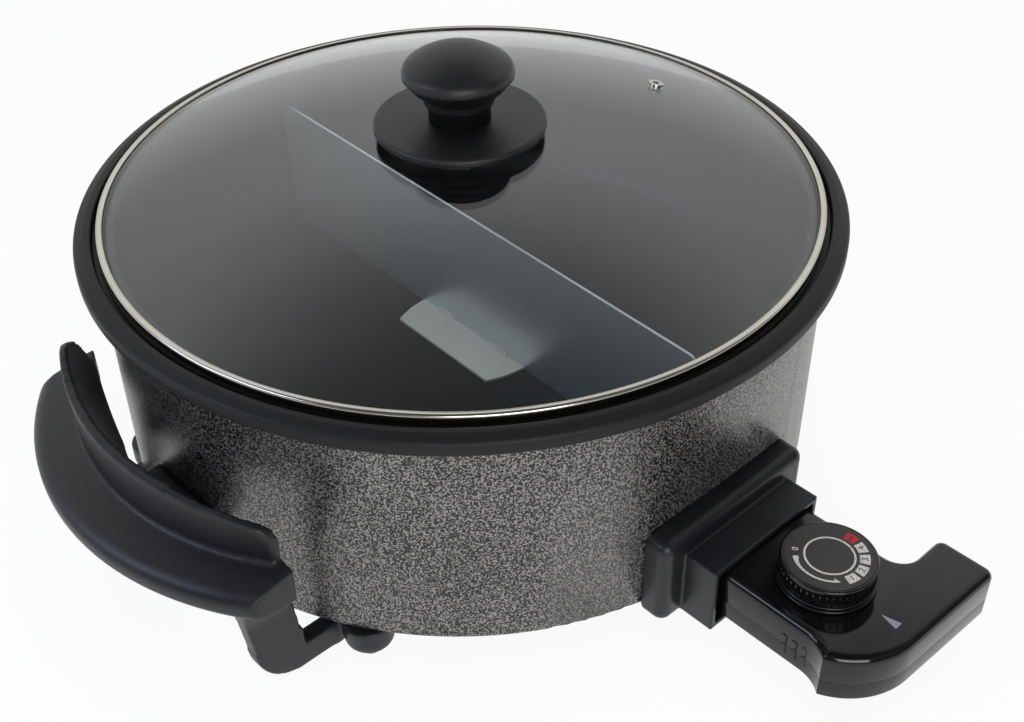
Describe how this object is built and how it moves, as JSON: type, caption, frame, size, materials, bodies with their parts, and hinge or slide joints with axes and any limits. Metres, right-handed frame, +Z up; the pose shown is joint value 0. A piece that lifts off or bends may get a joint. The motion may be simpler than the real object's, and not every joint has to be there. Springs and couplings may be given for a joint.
{
  "type": "electric grill pan",
  "caption": "Round electric grill pan with hammertone casing, guarded side grips, loose glass lid, divider plate and plug-in thermostat with dial.",
  "frame": {"origin": "centre of the footprint on the table", "axes": "+X from the pan towards the plug-in thermostat, +Y towards the far grip, +Z up"},
  "size_m": [0.415, 0.4126, 0.1942],
  "materials": {
    "nonstick": "matte non-stick coat on cast aluminium",
    "hammertone": "hammertone grey and black paint on steel sheet",
    "plated_sheet": "plain zinc-plated sheet",
    "fasteners": "zinc-plated",
    "heater_sheath": "heat-darkened sheath",
    "clamp_steel": "plain",
    "brass": "plain",
    "pin_nickel": "nickel-plated",
    "insulator": "heat-proof insulator",
    "cast_aluminium": "as cast",
    "satin_black": "satin moulded phenolic",
    "rubber_black": "plain",
    "lid_glass": "clear tempered",
    "band_steel": "bright rolled",
    "knob_black": "fine matte moulded phenolic",
    "divider_aluminium": "bright rolled",
    "gloss_black": "high gloss",
    "lens_clear": "clear lens",
    "lamp_amber": "amber",
    "dial_print": "dark plate with printed ring and numbers"
  },
  "bodies": {
    "base": {"inner_pan": "nonstick", "outer_casing": "hammertone", "base_plate": "plated_sheet", "base_screws": "fasteners", "heating_element": "heater_sheath", "element_clamps": "clamp_steel", "terminal_straps": "brass", "contact_pins": "pin_nickel", "pin_block": "insulator", "probe_block": "cast_aluminium", "heat_shield": "plated_sheet", "inlet_shroud": "satin_black", "inlet_screws": "fasteners", "grip_near": "satin_black", "grip_far": "satin_black", "grip_screws": "fasteners", "foot_screws": "fasteners", "foot_pads": "rubber_black"},
    "lid": {"lid_glass": "lid_glass", "lid_band": "band_steel", "knob_seal": "rubber_black", "knob_plate": "knob_black", "knob_cap": "knob_black", "knob_screw": "fasteners", "knob_washer": "rubber_black", "vent_eyelet": "band_steel"},
    "divider": {"divider_plate": "divider_aluminium", "divider_feet": "divider_aluminium"},
    "thermostat": {"control_top": "gloss_black", "control_base": "gloss_black", "control_screws": "fasteners", "probe_rod": "pin_nickel", "contact_sleeves": "brass", "switch_block": "insulator", "pilot_lens": "lens_clear", "pilot_lamp": "lamp_amber", "cord_gland": "rubber_black"},
    "dial": {"dial_knob": "gloss_black", "dial_face": "dial_print", "dial_spindle": "pin_nickel"}
  },
  "joints": [
    {"name": "lid_lift", "type": "slide", "parent": "base", "child": "lid", "axis": [0, 0, 1], "range_m": [0, 0.2]},
    {"name": "divider_turn", "type": "hinge", "parent": "base", "child": "divider", "pos_m": [-0.0425, 0, 0.05], "axis": [0, 0, 1], "continuous": true},
    {"name": "thermostat_pull", "type": "slide", "parent": "base", "child": "thermostat", "axis": [1, 0, 0], "range_m": [0, 0.12]},
    {"name": "dial_turn", "type": "hinge", "parent": "thermostat", "child": "dial", "pos_m": [0.164, 0, 0.05], "axis": [0, 0, 1], "range_deg": [-90, 150]}
  ]
}
